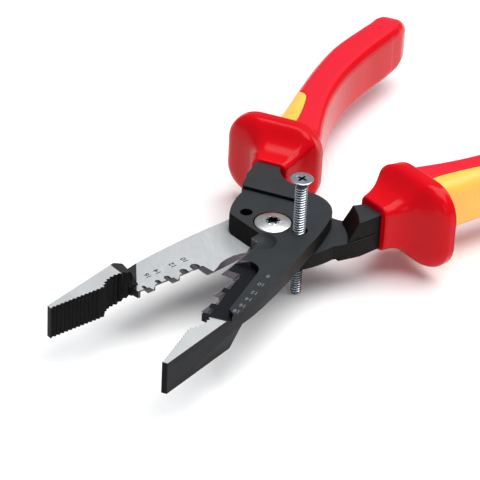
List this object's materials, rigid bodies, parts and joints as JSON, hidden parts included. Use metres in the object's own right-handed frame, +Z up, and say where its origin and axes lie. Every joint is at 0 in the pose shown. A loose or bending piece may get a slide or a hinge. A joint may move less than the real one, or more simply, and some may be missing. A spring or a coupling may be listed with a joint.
{
  "type": "wire stripper",
  "caption": "Hand-held combination wire stripper, insulated handles with guards, knives, pipe grip nose, and a machine screw cutter beside the pivot.",
  "frame": {"origin": "on the pivot axis, at the outer face of the pivot nut on the underside", "axes": "+Z up along the pivot axis towards the screw head; +X along the middle line of the open jaws, towards the tips; +Y left of it, on the upper jaw's side"},
  "size_m": [0.1939, 0.092, 0.0372],
  "materials": {
    "forged_steel": "burnished black, satin",
    "bright_steel": "bright, fine turned",
    "zinc_steel": "zinc plated",
    "yellow_insulation": "moulded",
    "yellow_grip": "soft, satin",
    "red_insulation": "moulded, glossy"
  },
  "bodies": {
    "lower_jaw": {"lower_half": "forged_steel", "lower_inner_layer": "yellow_insulation", "lower_sleeve": "red_insulation", "lower_grip_inlay": "yellow_grip", "pivot_nut": "bright_steel", "pivot_screw": "bright_steel", "machine_screw_tail": "zinc_steel"},
    "upper_jaw": {"upper_half": "forged_steel", "upper_inner_layer": "yellow_insulation", "upper_sleeve": "red_insulation", "upper_grip_inlay": "yellow_grip", "machine_screw_head_end": "zinc_steel"}
  },
  "joints": [
    {"name": "pivot", "type": "hinge", "parent": "lower_jaw", "child": "upper_jaw", "pos_m": [0, 0, 0], "axis": [0, 0, 1], "range_deg": [-28.8, 25]}
  ]
}
